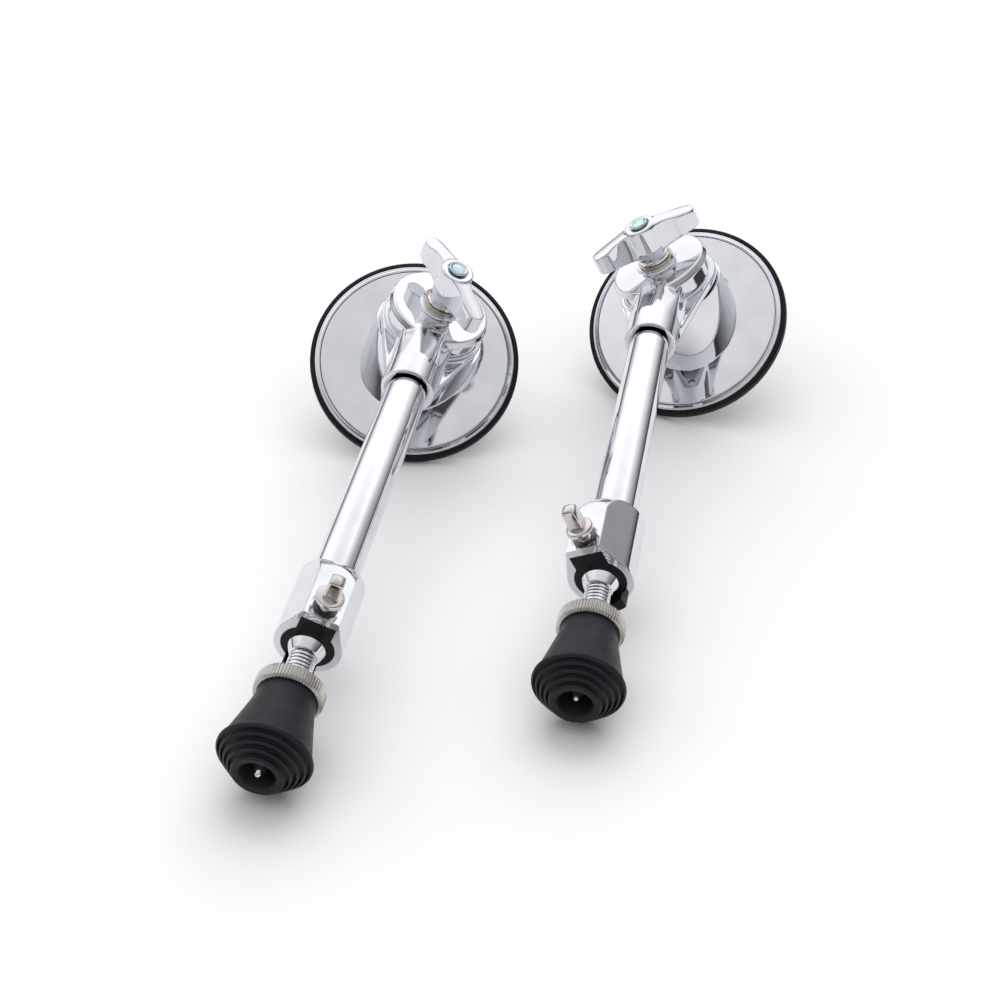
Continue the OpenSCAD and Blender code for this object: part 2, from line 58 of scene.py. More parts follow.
spur = {
    "gasketThick": 2.4,
    "tilt": 32.5,
    "legHeight": 32.3,  # leg axis above the gasket's underside, along the hinge axis
    "footFromJoint": 20.0,  # foot's lower opening, past the place where its joint is written
    "wingTurn": {"left": 59.5, "right": 95.3},
}


def spurFrames(side):
    swing = joints[side + "_leg_swing"]
    pivot = Vector(swing["pos_m"])
    hinge = Vector(swing["axis"]).normalized()
    leg = Vector(joints[side + "_rod_slide"]["axis"]).normalized()
    normal = -Vector(mounts[side + "_drum_bolts"]["axis"]).normalized()
    middle = Vector(mounts[side + "_drum_bolts"]["pos_m"]) - normal * spur["gasketThick"] * millimetre
    front = (normal * hinge.dot(normal) - hinge).normalized()
    ahead = (front - hinge * front.dot(hinge)).normalized()
    wing = Matrix.Rotation(radians(spur["wingTurn"][side]), 3, hinge) @ ahead
    screw = Vector(joints[side + "_key_turn"]["pos_m"])
    foot = Vector(joints[side + "_foot_turn"]["pos_m"]) + leg * spur["footFromJoint"] * millimetre
    return {
        "base": localFrame(middle, front, normal),
        "hinge": localFrame(middle, ahead, hinge),
        "knuckle": localFrame(middle, leg, hinge),
        "wing": localFrame(middle, wing, hinge),
        "leg": localFrame(pivot, hinge, leg),
        "screw": localFrame(screw, leg, hinge),
        "foot": localFrame(foot, hinge, -leg),
    }


frames = {side: spurFrames(side) for side in sides}


def choose(*objs):
    bpy.ops.object.select_all(action="DESELECT")
    for obj in objs:
        obj.select_set(True)
    bpy.context.view_layer.objects.active = objs[0]


# the object's place goes into its mesh
def settle(obj):
    choose(obj)
    bpy.ops.object.transform_apply()
    return obj


def joined(name, parts):
    choose(*parts)
    bpy.ops.object.join()
    parts[0].name = name
    return parts[0]


def editing(obj):
    choose(obj)
    bpy.ops.object.mode_set(mode="EDIT")
    bpy.ops.mesh.select_mode(type="VERT")
    bpy.ops.mesh.select_all(action="SELECT")


def doneEditing():
    bpy.ops.object.mode_set(mode="OBJECT")
    return bpy.context.object


def selectVerts(obj, test):
    bpy.ops.mesh.select_all(action="DESELECT")
    bpy.ops.object.mode_set(mode="OBJECT")
    for vert in obj.data.vertices:
        vert.select = test(vert.co)
    bpy.ops.object.mode_set(mode="EDIT")


def selectFaces(obj, test):
    bpy.ops.mesh.select_mode(type="FACE")
    bpy.ops.mesh.select_all(action="DESELECT")
    bpy.ops.object.mode_set(mode="OBJECT")
    for face in obj.data.polygons:
        face.select = test(face)
    bpy.ops.object.mode_set(mode="EDIT")


def cleanMesh():
    bpy.ops.mesh.select_all(action="SELECT")
    bpy.ops.mesh.remove_doubles(threshold=0.001)
    bpy.ops.mesh.normals_make_consistent(inside=False)


# rows of radius, height and rounding become a path with arcs at its corners
def softCorners(corners, arcSteps):
    path = []
    for i, (r, z, soft) in enumerate(corners):
        here = Vector((r, z))
        if soft == 0 or i in (0, len(corners) - 1):
            path.append(here)
            continue
        back = (Vector(corners[i - 1][:2]) - here).normalized()
        on = (Vector(corners[i + 1][:2]) - here).normalized()
        half = back.angle(on) / 2
        reach = soft / tan(half)
        centre = here + (back + on).normalized() * soft / sin(half)
        start = here + back * reach - centre
        end = here + on * reach - centre
        for k in range(arcSteps + 1):
            path.append(centre + start.slerp(end, k / arcSteps, start))
    return path


# a plane shrunk to one point, then walked from corner to corner
def walkedPath(name, points):
    bpy.ops.mesh.primitive_plane_add(size=1)
    obj = bpy.context.object
    obj.name = name
    editing(obj)
    bpy.ops.mesh.merge(type="CENTER")
    bpy.ops.transform.translate(value=points[0])
    for last, here in zip(points, points[1:]):
        bpy.ops.mesh.extrude_region_move(TRANSFORM_OT_translate={"value": here - last})
    bpy.ops.mesh.select_all(action="SELECT")


def turnedPiece(name, corners, sideCount=96, arcSteps=4):
    walkedPath(name, [Vector((spot.x, 0, spot.y)) for spot in softCorners(corners, arcSteps)])
    bpy.ops.mesh.spin(steps=sideCount, angle=2 * pi, center=(0, 0, 0), axis=(0, 0, 1))
    cleanMesh()
    return doneEditing()


def prismPiece(name, outline, low, high):
    walkedPath(name, [Vector((a, b, low)) for a, b in outline])
    bpy.ops.mesh.edge_face_add()
    bpy.ops.mesh.extrude_region_move(TRANSFORM_OT_translate={"value": (0, 0, high - low)})
    cleanMesh()
    return doneEditing()


def cylinderPiece(name, radius, low, high, sideCount=96, place=Matrix()):
    bpy.ops.mesh.primitive_cylinder_add(
        vertices=sideCount, radius=radius, depth=high - low, location=(0, 0, (low + high) / 2))
    obj = settle(bpy.context.object)
    obj.name = name
    obj.matrix_world = place
    return settle(obj)


def applied(obj, kind, **settings):
    choose(obj)
    modifier = obj.modifiers.new(kind, kind)
    for key, value in settings.items():
        setattr(modifier, key, value)
    bpy.ops.object.modifier_apply(modifier=modifier.name)


def combined(obj, other, operation):
    applied(obj, "BOOLEAN", operation=operation, object=other, solver="EXACT")
    bpy.data.objects.remove(other, do_unlink=True)


def drill(obj, radius, low, high, sideCount=96, place=Matrix()):
    combined(obj, cylinderPiece("hole", radius, low, high, sideCount, place), "DIFFERENCE")


# blends the joined shapes into one smooth casting
def castSurface(obj, grain, passes):
    applied(obj, "REMESH", mode="VOXEL", voxel_size=grain, use_smooth_shade=True)
    applied(obj, "SMOOTH", factor=0.5, iterations=passes)


# the tight skin round a few primitives
def hullPiece(name, parts):
    editing(joined(name, parts))
    bpy.ops.mesh.convex_hull()
    cleanMesh()
    return doneEditing()


# sizes of the patterns in the finishes, and how far each one shows
pattern = {
    "low": 0.3,  # noise at or under this gives a finish's first colour or gloss
    "high": 0.7,  # and at or over this its second
    "metalTint": 60,
    "metalSheen": 900,
    "wave": 120,
    "waveHeight": 0.0004,
    "rubberTint": 90,
    "rubberSheen": 300,
    "rubberSpecular": 0.2,
    "rubberBump": 0.25,
}


def shaderFor(name):
    made = bpy.data.materials.new(name)
    made.use_nodes = True
    tree = made.node_tree
    shader = tree.nodes["Principled BSDF"]
    where = tree.nodes.new("ShaderNodeTexCoord")
    return made, tree, shader, where.outputs["Object"]


def addNoise(tree, place, scale, detail=3):
    noise = tree.nodes.new("ShaderNodeTexNoise")
    noise.inputs["Scale"].default_value = scale
    noise.inputs["Detail"].default_value = detail
    tree.links.new(place, noise.inputs["Vector"])
    return noise.outputs["Fac"]


def addRange(tree, value, low, high, fromLow=pattern["low"], fromHigh=pattern["high"]):
    mapped = tree.nodes.new("ShaderNodeMapRange")
    mapped.inputs["From Min"].default_value = fromLow
    mapped.inputs["From Max"].default_value = fromHigh
    mapped.inputs["To Min"].default_value = low
    mapped.inputs["To Max"].default_value = high
    tree.links.new(value, mapped.inputs["Value"])
    return mapped.outputs["Result"]


def addBump(tree, shader, value, strength, distance):
    bump = tree.nodes.new("ShaderNodeBump")
    bump.inputs["Strength"].default_value = strength
    bump.inputs["Distance"].default_value = distance
    tree.links.new(value, bump.inputs["Height"])
    tree.links.new(bump.outputs["Normal"], shader.inputs["Normal"])


def addTint(tree, shader, value, dark, light):
    ramp = tree.nodes.new("ShaderNodeValToRGB")
    stops = ((pattern["low"], dark), (pattern["high"], light))
    for element, (at, colour) in zip(ramp.color_ramp.elements, stops):
        element.position = at
        element.color = (*colour, 1)
    tree.links.new(value, ramp.inputs["Fac"])
    tree.links.new(ramp.outputs["Color"], shader.inputs["Base Color"])


def metalFinish(name, dark, light, smooth, rough, wave=0.0):
    made, tree, shader, place = shaderFor(name)
    shader.inputs["Metallic"].default_value = 1.0
    addTint(tree, shader, addNoise(tree, place, pattern["metalTint"]), dark, light)
    sheen = addRange(tree, addNoise(tree, place, pattern["metalSheen"]), smooth, rough)
    tree.links.new(sheen, shader.inputs["Roughness"])
    if wave:
        addBump(tree, shader, addNoise(tree, place, pattern["wave"], 2), wave, pattern["waveHeight"])
    return made


def rubberFinish(name, dark, light, smooth, rough, grain, depth):
    made, tree, shader, place = shaderFor(name)
    shader.inputs["Specular IOR Level"].default_value = pattern["rubberSpecular"]
    addTint(tree, shader, addNoise(tree, place, pattern["rubberTint"]), dark, light)
    sheen = addRange(tree, addNoise(tree, place, pattern["rubberSheen"]), smooth, rough)
    tree.links.new(sheen, shader.inputs["Roughness"])
    addBump(tree, shader, addNoise(tree, place, grain, 4), pattern["rubberBump"], depth)
    return made


finishes = {
    "chrome": metalFinish("castChrome", (0.68, 0.69, 0.725), (0.76, 0.765, 0.80), 0.03, 0.07, 0.04),
    "tubeChrome": metalFinish("tubeChrome", (0.71, 0.715, 0.75), (0.78, 0.785, 0.815), 0.03, 0.06),
    "zinc": metalFinish("blueZinc", (0.50, 0.64, 0.68), (0.66, 0.76, 0.79), 0.16, 0.3, 0.1),
    "nickel": metalFinish("satinNickel", (0.42, 0.40, 0.375), (0.54, 0.52, 0.49), 0.2, 0.34, 0.1),
    "screwNickel": metalFinish("brightNickel", (0.58, 0.54, 0.53), (0.68, 0.64, 0.63), 0.08, 0.18, 0.1),
    "blackSteel": metalFinish("blackSteel", (0.10, 0.10, 0.11), (0.20, 0.20, 0.21), 0.3, 0.45, 0.1),
    "brass": metalFinish("paleBrass", (0.52, 0.46, 0.34), (0.64, 0.58, 0.46), 0.15, 0.3, 0.1),
    "footRubber": rubberFinish(
        "footRubber", (0.012, 0.0115, 0.015), (0.021, 0.020, 0.026), 0.4, 0.52, 700, 0.0001),
    "gasketRubber": rubberFinish(
        "gasketRubber", (0.004, 0.004, 0.005), (0.009, 0.009, 0.01), 0.45, 0.6, 900, 0.0001),
    "blackNylon": rubberFinish(
        "blackNylon", (0.003, 0.003, 0.0035), (0.007, 0.007, 0.008), 0.34, 0.46, 500, 0.00005),
    "whiteNylon": rubberFinish(
        "whiteNylon", (0.70, 0.70, 0.66), (0.80, 0.80, 0.76), 0.35, 0.5, 500, 0.00005),
}
print("materials made")


# puts one copy on each spur, then removes the first one
def onBothSpurs(obj, frameName, pieceName, body, nodes, finish, smoothAngle=30):
    obj.data.materials.clear()
    obj.data.materials.append(finishes[finish])
    for side in sides:
        piece = obj.copy()
        piece.data = obj.data.copy()
        piece.name = side + pieceName
        piece.data.name = piece.name
        bpy.context.collection.objects.link(piece)
        piece.matrix_world = frames[side][frameName]
        settle(piece)
        bpy.ops.object.shade_smooth_by_angle(angle=radians(smoothAngle))
        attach(piece, side + "_" + body)
        if nodes:
            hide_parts(*[side + "_" + node for node in nodes])
    bpy.data.objects.remove(obj, do_unlink=True)
    print(pieceName, "made")


base = {
    "radius": 51.5,
    "low": 2.4,
    "ring": 4.6,  # height of the flat mirror ring
    "rim": 5.35,
    "rimWidth": 3.3,
    "turret": 27.7,
    "seat": 23.0,
    "fillet": 1.6,
    "filletSteps": 5,
    "headRoom": 8.7,
    "boltRoom": 4.95,
    "headTop": 11.4,
    "screwCircle": 20.0,
    "screwHole": 2.5,
    "screwDepth": 11.0,
    "screws": 4,
}

hingeToBase = Matrix.Rotation(radians(-spur["tilt"]), 4, "Y")


def cutScrewHoles(obj, place):
    step = 360 / base["screws"]
    for k in range(base["screws"]):
        turn = Matrix.Rotation(radians(step * (k + 0.5)), 4, "Z")
        at = place @ turn @ Matrix.Translation((base["screwCircle"], 0, 0))
        drill(obj, base["screwHole"], base["low"] - 1, base["low"] + base["screwDepth"], 24, at)


def makeDisc():
    inner = base["radius"] - base["rimWidth"]
    disc = turnedPiece("disc", [
        (0, base["low"], 0), (base["radius"] - 0.1, base["low"], 0.4),
        (base["radius"], base["rim"] - 0.1, 1.3),
        (base["radius"] - 1.4, base["rim"] + 0.1, 1.4), (inner + 0.5, base["rim"] - 0.1, 0.7),
        (inner + 0.1, base["ring"] - 0.45, 0.25), (inner - 0.6, base["ring"] - 0.4, 0.2),
        (inner - 0.9, base["ring"], 0.25), (0, base["ring"], 0)], 180)
    drill(disc, base["headRoom"], -20, base["ring"] + 6, 64, hingeToBase)
    cutScrewHoles(disc, Matrix())
    onBothSpurs(disc, "base", "BaseDisc", "base", ["base"], "chrome")


def makeTurret():
    bpy.ops.mesh.primitive_circle_add(
        vertices=144, radius=base["turret"], fill_type="NGON", location=(0, 0, base["seat"]))
    turret = settle(bpy.context.object)
    editing(turret)
    bpy.ops.mesh.extrude_region_move(TRANSFORM_OT_translate={"value": (0, 0, -80)})
    bpy.ops.mesh.select_all(action="SELECT")
    normal = Vector((sin(radians(spur["tilt"])), 0, cos(radians(spur["tilt"]))))
    foot = base["ring"] + base["fillet"]
    level = normal * foot
    bpy.ops.mesh.bisect(plane_co=level, plane_no=normal, clear_inner=True, clear_outer=False)
    # the cut edge steps outward and down along a quarter circle
    selectVerts(turret, lambda co: abs((co - level).dot(normal)) < 0.01)
    axisHit = Vector((0, 0, foot / normal.z))
    spread = 0.0
    drop = 0.0
    for k in range(base["filletSteps"]):
        angle = (k + 1) * pi / 2 / base["filletSteps"]
        nextSpread = base["fillet"] * (1 - cos(angle))
        nextDrop = base["fillet"] * sin(angle)
        bpy.ops.mesh.extrude_region_move(TRANSFORM_OT_translate={"value": -normal * (nextDrop - drop)})
        grow = (base["turret"] + nextSpread) / (base["turret"] + spread)
        bpy.ops.transform.resize(value=(grow, grow, grow), center_override=axisHit - normal * nextDrop)
        spread = nextSpread
        drop = nextDrop
    bpy.ops.mesh.extrude_region_move(TRANSFORM_OT_translate={"value": -normal * 0.5})
    bpy.ops.mesh.edge_face_add()
    cleanMesh()
    doneEditing()
    drill(turret, base["headRoom"], -30, base["headTop"], 64)
    drill(turret, base["boltRoom"], 0, base["seat"] + 2, 64)
    cutScrewHoles(turret, hingeToBase.inverted())
    onBothSpurs(turret, "hinge", "BaseTurret", "base", [], "chrome", 25)


gasket = {"inner": 12.0, "outer": 53.0, "thick": 2.4, "edge": 0.5, "lip": 51.6, "lipTop": 3.9}


def makeGasket():
    ring = turnedPiece("gasket", [
        (gasket["inner"], 0, 0), (gasket["outer"], 0, gasket["edge"]),
        (gasket["outer"], gasket["lipTop"], gasket["edge"]), (gasket["lip"], gasket["lipTop"], 0.2),
        (gasket["lip"], gasket["thick"] - 0.05, 0), (gasket["inner"], gasket["thick"] - 0.05, 0),
        (gasket["inner"], 0, 0)], 180)
    onBothSpurs(ring, "base", "Gasket", "base", ["gasket"], "gasketRubber")


bolt = {"radius": 4.85, "head": 8.4, "headLow": 6.4, "headTop": 11.35, "top": 68.6, "dome": 1.0}


def makeBolt():
    piece = turnedPiece("bolt", [
        (0, bolt["headLow"], 0), (bolt["head"], bolt["headLow"], 1.0), (bolt["head"], bolt["headTop"], 0.3),
        (bolt["radius"], bolt["headTop"], 0), (bolt["radius"], bolt["top"] - bolt["dome"], 1.0),
        (bolt["radius"] - 1.6, bolt["top"] - 0.15, 2.0), (0, bolt["top"], 0)], 48)
    onBothSpurs(piece, "hinge", "HingeBolt", "base", ["hinge_bolt"], "zinc")


knuckle = {
    "hub": 25.5,
    "low": 23.8,
    "top": 41.5,
    "step": 37.2,  # lower edge of the hub's raised top band
    "stepIn": 1.1,
    "flange": 26.3,
    "flangeThick": 4.0,
    "reach": 59.0,
    "socket": 13.0,
    "mouthLong": 15.0,  # round stretch of the socket before it narrows
    "ridgeHalf": 6.3,
    "bodyHalf": 13.2,
    "bodyStart": 19.0,
    "bodyLow": 26.8,
    "bodyHigh": 34.8,
    "ridgeLow": 40.9,
    "ridgeHigh": 41.9,
    "slabThick": 3.0,
    "boss": 10.1,
    "bossTop": 43.5,
    "bore": 9.55,
    "boreFrom": 33.0,
    "mouth": 11.4,
    "mouthDeep": 4.5,
    "shank": 5.1,
    "pin": 1.6,
    "pinAt": (49.0, 0.0, 26.15),
    "grain": 0.42,
    "passes": 7,
}


def makeKnuckle():
    k = knuckle
    flangeTop = k["low"] + k["flangeThick"]
    past = k["reach"] + 10
    hub = turnedPiece("hub", [
        (0, k["low"], 0), (k["flange"], k["low"], 0), (k["flange"], flangeTop, 0.6),
        (k["hub"] - 0.9, flangeTop + 0.4, 0.6), (k["hub"] - k["stepIn"], k["step"] - 0.7, 0.4),
        (k["hub"], k["step"], 0.5), (k["hub"], k["top"], 1.5), (k["boss"], k["top"], 0),
        (k["boss"] - 0.1, k["bossTop"], 0.3), (0, k["bossTop"], 0)], 120)
    # pear-shaped flange under the hub and the socket
    wide = cylinderPiece("wide", k["flange"], k["low"], flangeTop, 96)
    far = Matrix.Translation((k["reach"] - k["socket"], 0, 0))
    narrow = cylinderPiece("narrow", k["socket"] - 1, k["low"], flangeTop, 64, far)
    combined(hub, hullPiece("flange", [wide, narrow]), "UNION")
    # socket body: a round mouth that blends back into a narrow ridge at the hub
    alongLeg = Matrix.Translation((0, 0, spur["legHeight"])) @ Matrix.Rotation(radians(90), 4, "Y")
    mouth = cylinderPiece("mouth", k["socket"], k["reach"] - k["mouthLong"], k["reach"], 96, alongLeg)
    blended = [mouth]
    start = k["bodyStart"]
    end = start + k["slabThick"]
    body = (k["bodyHalf"], k["bodyLow"], k["bodyHigh"])
    ridge = (k["ridgeHalf"], k["ridgeLow"], k["ridgeHigh"])
    for half, low, high in (body, ridge):
        slab = [(start, -half), (end, -half), (end, half), (start, half)]
        blended.append(prismPiece("slab", slab, low, high))
    combined(hub, hullPiece("body", blended), "UNION")
    castSurface(hub, k["grain"], k["passes"])
    # crisp machined cuts
    drill(hub, k["bore"], k["boreFrom"], past, 96, alongLeg)
    drill(hub, k["mouth"], k["reach"] - k["mouthDeep"], past, 96, alongLeg)
    drill(hub, k["boss"] + 2, k["bossTop"], k["bossTop"] + 9, 64)
    drill(hub, k["shank"], 10, 60, 64)
    for turn in (90, -90):  # cross pin holes, either side
        pin = Matrix.Translation(k["pinAt"]) @ Matrix.Rotation(radians(turn), 4, "X")
        drill(hub, k["pin"], 2, 30, 24, pin)
    onBothSpurs(hub, "knuckle", "Knuckle", "leg", ["knuckle"], "chrome", 40)


wing = {
    "low": 44.98,
    "height": 20.9,
    "span": 58.0,
    "neck": 8.5,
    "barrel": 8.4,
    "root": 6.6,
    "rootLow": 4.2,
    "tip": 4.4,
    "tipLow": 6.6,
    "tipHigh": 16.4,
    "hollow": 18.0,  # radius of the hollow in each flank
    "hollowAlong": 13.5,
    "hollowOut": {1: 21.2, -1: 22.4},  # the two flanks of a wing are not hollowed alike
    "thread": 4.95,
    "seat": 5.7,
    "seatDeep": 0.9,
    "grain": 0.4,
    "passes": 10,
}


def makeWingNut():
    w = wing
    past = w["height"] + 5
    parts = [cylinderPiece("root", w["root"], w["rootLow"], w["height"], 48)]
    for side in (1, -1):
        at = Matrix.Translation((side * (w["span"] / 2 - w["tip"]), 0, 0))
        parts.append(cylinderPiece("tip", w["tip"], w["tipLow"], w["tipHigh"], 48, at))
    body = hullPiece("wings", parts)
    for side in (1, -1):
        for flank, out in w["hollowOut"].items():
            at = Matrix.Translation((side * w["hollowAlong"], side * flank * out, 0))
            drill(body, w["hollow"], -5, past, 96, at)
    neck = turnedPiece("neck", [
        (0, 0, 0), (w["neck"], 0, 0), (w["neck"] - 0.5, 1.4, 0.4), (w["neck"] - 1.0, 3.6, 1.0),
        (w["barrel"], w["rootLow"] + 3, 1.0), (w["barrel"] - 0.4, w["height"], 0.6), (0, w["height"], 0)], 64)
    combined(body, neck, "UNION")
    castSurface(body, w["grain"], w["passes"])
    drill(body, w["thread"], -5, past, 64)
    drill(body, w["seat"], w["height"] - w["seatDeep"], past, 64)
    body.location.z = w["low"]
    settle(body)
    onBothSpurs(body, "wing", "WingNut", "wing", ["wing_nut"], "chrome", 40)


leg = {"tube": 9.525, "bore": 8.225, "from": 33.0, "to": 204.0}


def makeTube():
    piece = turnedPiece("tube", [
        (leg["bore"], leg["from"], 0), (leg["tube"], leg["from"], 0.3), (leg["tube"], leg["to"], 0.3),
        (leg["bore"], leg["to"], 0), (leg["bore"], leg["from"], 0)], 96)
    onBothSpurs(piece, "leg", "Tube", "leg", ["tube"], "tubeChrome")


collar = {
    "start": 191.0,
    "end": 230.0,
    "back": 15.0,
    "backSteps": 40,
    "face": 20.0,
    "faceHalf": 8.0,
    "drop": 25.0,  # how far along the arched shoulder runs
    "shoulder": 10.7,
    "shoulderSteps": 12,
    "bushing": 11.77,
    "keyHalf": 7.82,
    "keyHeight": 16.42,
    "tongueHalf": 7.02,
    "tongueOut": 20.0,
    "bushingLength": 25.02,
    "screwAt": 222.5,
    "screw": 3.0,
    "counterbore": 6.5,
    "counterboreDeep": 1.2,
    "grain": 0.4,
    "passes": 4,
}


def makeCollar():
    c = collar
    # a round back whose tangents run to the flat face
    reach = sqrt(c["face"] ** 2 + c["faceHalf"] ** 2)
    touch = atan2(c["faceHalf"], c["face"]) + (pi / 2 - atan(c["back"] / sqrt(reach ** 2 - c["back"] ** 2)))
    steps = c["backSteps"]
    arc = [touch + (2 * pi - 2 * touch) * k / steps for k in range(steps + 1)]
    outline = [(c["back"] * cos(a), c["back"] * sin(a)) for a in arc]
    outline += [(c["face"], -c["faceHalf"]), (c["face"], c["faceHalf"])]
    body = prismPiece("collar", outline, c["start"], c["end"])
    wide = c["face"] + 3
    angles = [radians(90 - 90 * k / c["shoulderSteps"]) for k in range(c["shoulderSteps"] + 1)]
    arch = [(c["shoulder"] + (wide - c["shoulder"]) * cos(a), c["start"] + c["drop"] * (1 - sin(a)), 0)
            for a in angles]
    shoulder = turnedPiece(
        "shoulder", [(0, c["start"], 0)] + arch + [(wide, c["end"] + 1, 0), (0, c["end"] + 1, 0)], 96)
    combined(body, shoulder, "INTERSECT")
    castSurface(body, c["grain"], c["passes"])
    # crisp machined cuts
    drill(body, leg["tube"] + 0.02, c["start"] - 5, c["end"] + 5)
    low = c["end"] - c["bushingLength"]
    key = (0, c["keyHeight"], c["keyHalf"])
    tongue = (-c["tongueOut"], 0, c["tongueHalf"])
    for near, far, half in (key, tongue):
        slot = prismPiece("slot", [(near, -half), (far, -half), (far, half), (near, half)], low, low + 40)
        combined(body, slot, "DIFFERENCE")
    drill(body, c["bushing"], low, c["end"] + 5)
    up = Matrix.Translation((0, 0, c["screwAt"])) @ Matrix.Rotation(radians(90), 4, "Y")
    drill(body, c["screw"], 10, 40, 48, up)
    drill(body, c["counterbore"], c["face"] - c["counterboreDeep"], 40, 64, up)
    onBothSpurs(body, "leg", "Collar", "leg", ["collar"], "chrome", 40)


keyScrew = {
    "shank": 2.9,
    "threadDeep": 0.45,
    "threads": 5,
    "pitch": 1.0,
    "low": -3.3,
    "flangeLow": 4.6,
    "flange": 5.7,
    "flangeThick": 1.6,
    "head": 6.8,
    "headTall": 11.0,
    "taper": 0.9,
    "crownIn": 1.5,
    "crownUp": 1.1,
    "edge": 0.9,
}


def makeKeyScrew():
    s = keyScrew
    top = s["flangeLow"] + s["flangeThick"]
    core = s["shank"] - s["threadDeep"]
    threads = []
    for k in range(s["threads"]):
        z = s["low"] + 0.6 + k * s["pitch"]
        threads += [(core, z, 0), (s["shank"], z + 0.4, 0), (s["shank"], z + 0.55, 0), (core, z + 0.95, 0)]
    shank = turnedPiece("screw", [(0, s["low"], 0), (core, s["low"], 0)] + threads + [
        (s["shank"] - 0.3, s["flangeLow"] - 1.3, 0), (s["shank"] + 1.4, s["flangeLow"] - 0.9, 0.4),
        (s["flange"], s["flangeLow"] + 0.1, 0.4), (s["flange"], top - 0.1, 0.5),
        (s["head"] * 0.56, top + 0.25, 0.5), (0, top + 0.3, 0)], 48)
    bpy.ops.mesh.primitive_cube_add(size=1, location=(0, 0, top + s["headTall"] / 2))
    head = bpy.context.object
    head.scale = (s["head"], s["head"], s["headTall"])
    settle(head)
    editing(head)
    selectVerts(head, lambda co: co.z > top + 1)
    bpy.ops.transform.resize(value=(s["taper"], s["taper"], 1), center_override=(0, 0, top))
    selectFaces(head, lambda face: face.normal.z > 0.9)
    bpy.ops.mesh.inset(thickness=s["crownIn"])
    bpy.ops.transform.translate(value=(0, 0, s["crownUp"]))
    bpy.ops.mesh.select_all(action="SELECT")
    bpy.ops.mesh.bevel(offset=s["edge"], segments=3, affect="EDGES")
    cleanMesh()
    doneEditing()
    screw = joined("screw", [shank, head])
    onBothSpurs(screw, "screw", "KeyScrew", "key", ["key_screw"], "screwNickel", 40)


rod = {
    "radius": 7.85,
    "out": 231.4,
    "length": 128.0,
    "cone": 4.0,
    "tip": 5.2,
    "bore": 4.42,
    "boreDeep": 30.0,
    "guide": 12.0,
    "guideRadius": 4.98,
}


def makeRod():
    r = rod
    end = r["out"] + r["cone"]
    start = r["out"] - r["length"]
    back = start - r["guide"]
    piece = turnedPiece("rod", [
        (0, back, 0), (r["guideRadius"], back, 0.4), (r["guideRadius"], start, 0), (r["radius"], start, 0.4),
        (r["radius"], r["out"], 0.5), (r["tip"] + 0.5, end - 0.1, 0.3), (r["bore"], end, 0),
        (r["bore"], end - r["boreDeep"], 0), (0, end - r["boreDeep"], 0)], 96)
    onBothSpurs(piece, "leg", "Rod", "rod", ["rod"], "tubeChrome")


stud = {
    "radius": 5.0,
    "core": 4.4,
    "from": 206.4,
    "threadFrom": 236.6,
    "tip": 299.6,
    "point": 9.0,
    "pitch": 2.0,
}


def makeStud():
    s = stud
    path = [(0, s["from"], 0), (s["core"], s["from"], 0), (s["core"], s["threadFrom"], 0)]
    turns = int((s["tip"] - s["point"] - s["threadFrom"]) / s["pitch"])
    for k in range(turns):
        z = s["threadFrom"] + k * s["pitch"]
        path += [(s["core"], z + 0.1, 0), (s["radius"], z + 0.34 * s["pitch"], 0.12),
                 (s["radius"], z + 0.6 * s["pitch"], 0.12), (s["core"], z + 0.94 * s["pitch"], 0)]
    path += [(s["core"], s["tip"] - s["point"], 0.5), (0.5, s["tip"] - 0.2, 0.2), (0, s["tip"], 0)]
    piece = turnedPiece("stud", path, 48, 2)
    onBothSpurs(piece, "leg", "SpikeStud", "rod", ["spike_stud"], "tubeChrome")


foot = {
    "hole": 7.5,
    "low": 10.6,
    "radius": 19.6,
    "top": 12.1,
    "length": 41.0,
    "rim": 9.4,
    "steps": 4,
    "flare": 1.12,  # 1 is a straight cone, more is a hollow one
    "flareSteps": 10,
    "insert": 8.62,
    "insertFrom": 13.98,
}


def makeFoot():
    f = foot
    path = [(f["hole"], 0.5, 0), (f["hole"] + 0.5, 0, 0)]
    width = (f["radius"] - f["low"]) / f["steps"]
    rise = f["rim"] / f["steps"]
    for k in range(f["steps"]):
        r = f["low"] + k * width
        z = k * rise
        path += [(r - 0.05, z + 0.02, 0.45), (r + 0.15, z + rise * 0.75, 0.2),
                 (r + width * 0.55, z + rise * 0.98, 0.25)]
    path += [(f["radius"] - 0.15, f["rim"], 0.5), (f["radius"], f["rim"] + 1.0, 0.5)]
    low = f["rim"] + 1.6
    wide = f["radius"] - 0.45
    for k in range(f["flareSteps"]):
        q = k / f["flareSteps"]
        narrowing = (wide - f["top"]) * (1 - (1 - q) ** f["flare"])
        path.append((wide - narrowing, low + (f["length"] - low) * q, 0))
    path += [(f["top"], f["length"], 0.5), (f["insert"], f["length"], 0), (f["insert"], f["insertFrom"], 0),
             (f["hole"], f["insertFrom"], 0), (f["hole"], 0.5, 0)]
    piece = turnedPiece("foot", path, 128, 3)
    onBothSpurs(piece, "foot", "Foot", "foot", ["foot"], "footRubber", 50)


lockNut = {
    "outer": 14.1,
    "low": 41.4,
    "thick": 6.0,
    "edge": 0.7,
    "bore": 5.08,
    "recess": 12.7,
    "ridges": 66,
    "groove": 0.965,
}


